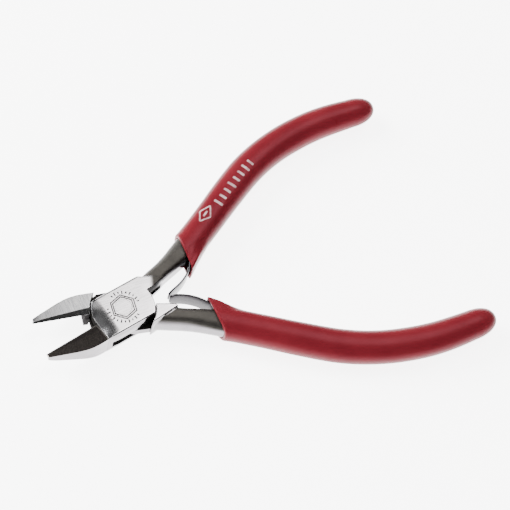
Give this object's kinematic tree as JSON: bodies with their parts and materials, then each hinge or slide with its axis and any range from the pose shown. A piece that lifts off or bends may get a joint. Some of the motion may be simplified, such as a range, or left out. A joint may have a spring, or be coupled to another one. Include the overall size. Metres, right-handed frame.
{
  "type": "diagonal cutting pliers",
  "caption": "Small box-joint diagonal cutting pliers with tapered jaws, two opposed leaf springs that open them, and dipped grips on bowed handles.",
  "frame": {"origin": "on the pivot axis, at the back face of the joint", "axes": "+X along the tool's middle line to the handle ends, jaws to -X; +Y to the handle of the box lever; +Z along the pivot axis, out of the front face"},
  "size_m": [0.1102, 0.0766, 0.008],
  "materials": {
    "polished_steel": "polished forged tool steel, ground faces",
    "spring_steel": "smooth rolled spring strip",
    "dipped_vinyl": "glossy dipped vinyl, deep red"
  },
  "bodies": {
    "box_half": {"box_lever": "polished_steel", "joint_pin": "polished_steel", "upper_spring_rivet": "spring_steel", "upper_grip": "dipped_vinyl"},
    "inner_half": {"inner_lever": "polished_steel", "lower_spring_rivet": "spring_steel", "lower_grip": "dipped_vinyl"},
    "upper_leaf": {"upper_leaf_spring": "spring_steel"},
    "lower_leaf": {"lower_leaf_spring": "spring_steel"}
  },
  "joints": [
    {"name": "pivot", "type": "hinge", "parent": "box_half", "child": "inner_half", "pos_m": [0, 0, 0.0037], "axis": [0, 0, 1], "range_deg": [0, 22], "stiffness_Nm_per_rad": 0.9, "springref_deg": -8.59},
    {"name": "upper_leaf_flex", "type": "hinge", "parent": "box_half", "child": "upper_leaf", "pos_m": [0.0228, 0.00807, 0.0037], "axis": [0, 0, 1], "range_deg": [-12.5, 0]},
    {"name": "lower_leaf_flex", "type": "hinge", "parent": "inner_half", "child": "lower_leaf", "pos_m": [0.0228, -0.00807, 0.0037], "axis": [0, 0, 1], "range_deg": [0, 12.5]}
  ],
  "couplings": [
    {"joint": "upper_leaf_flex", "follows": "pivot", "ratio": -0.55},
    {"joint": "lower_leaf_flex", "follows": "pivot", "ratio": 0.55}
  ]
}
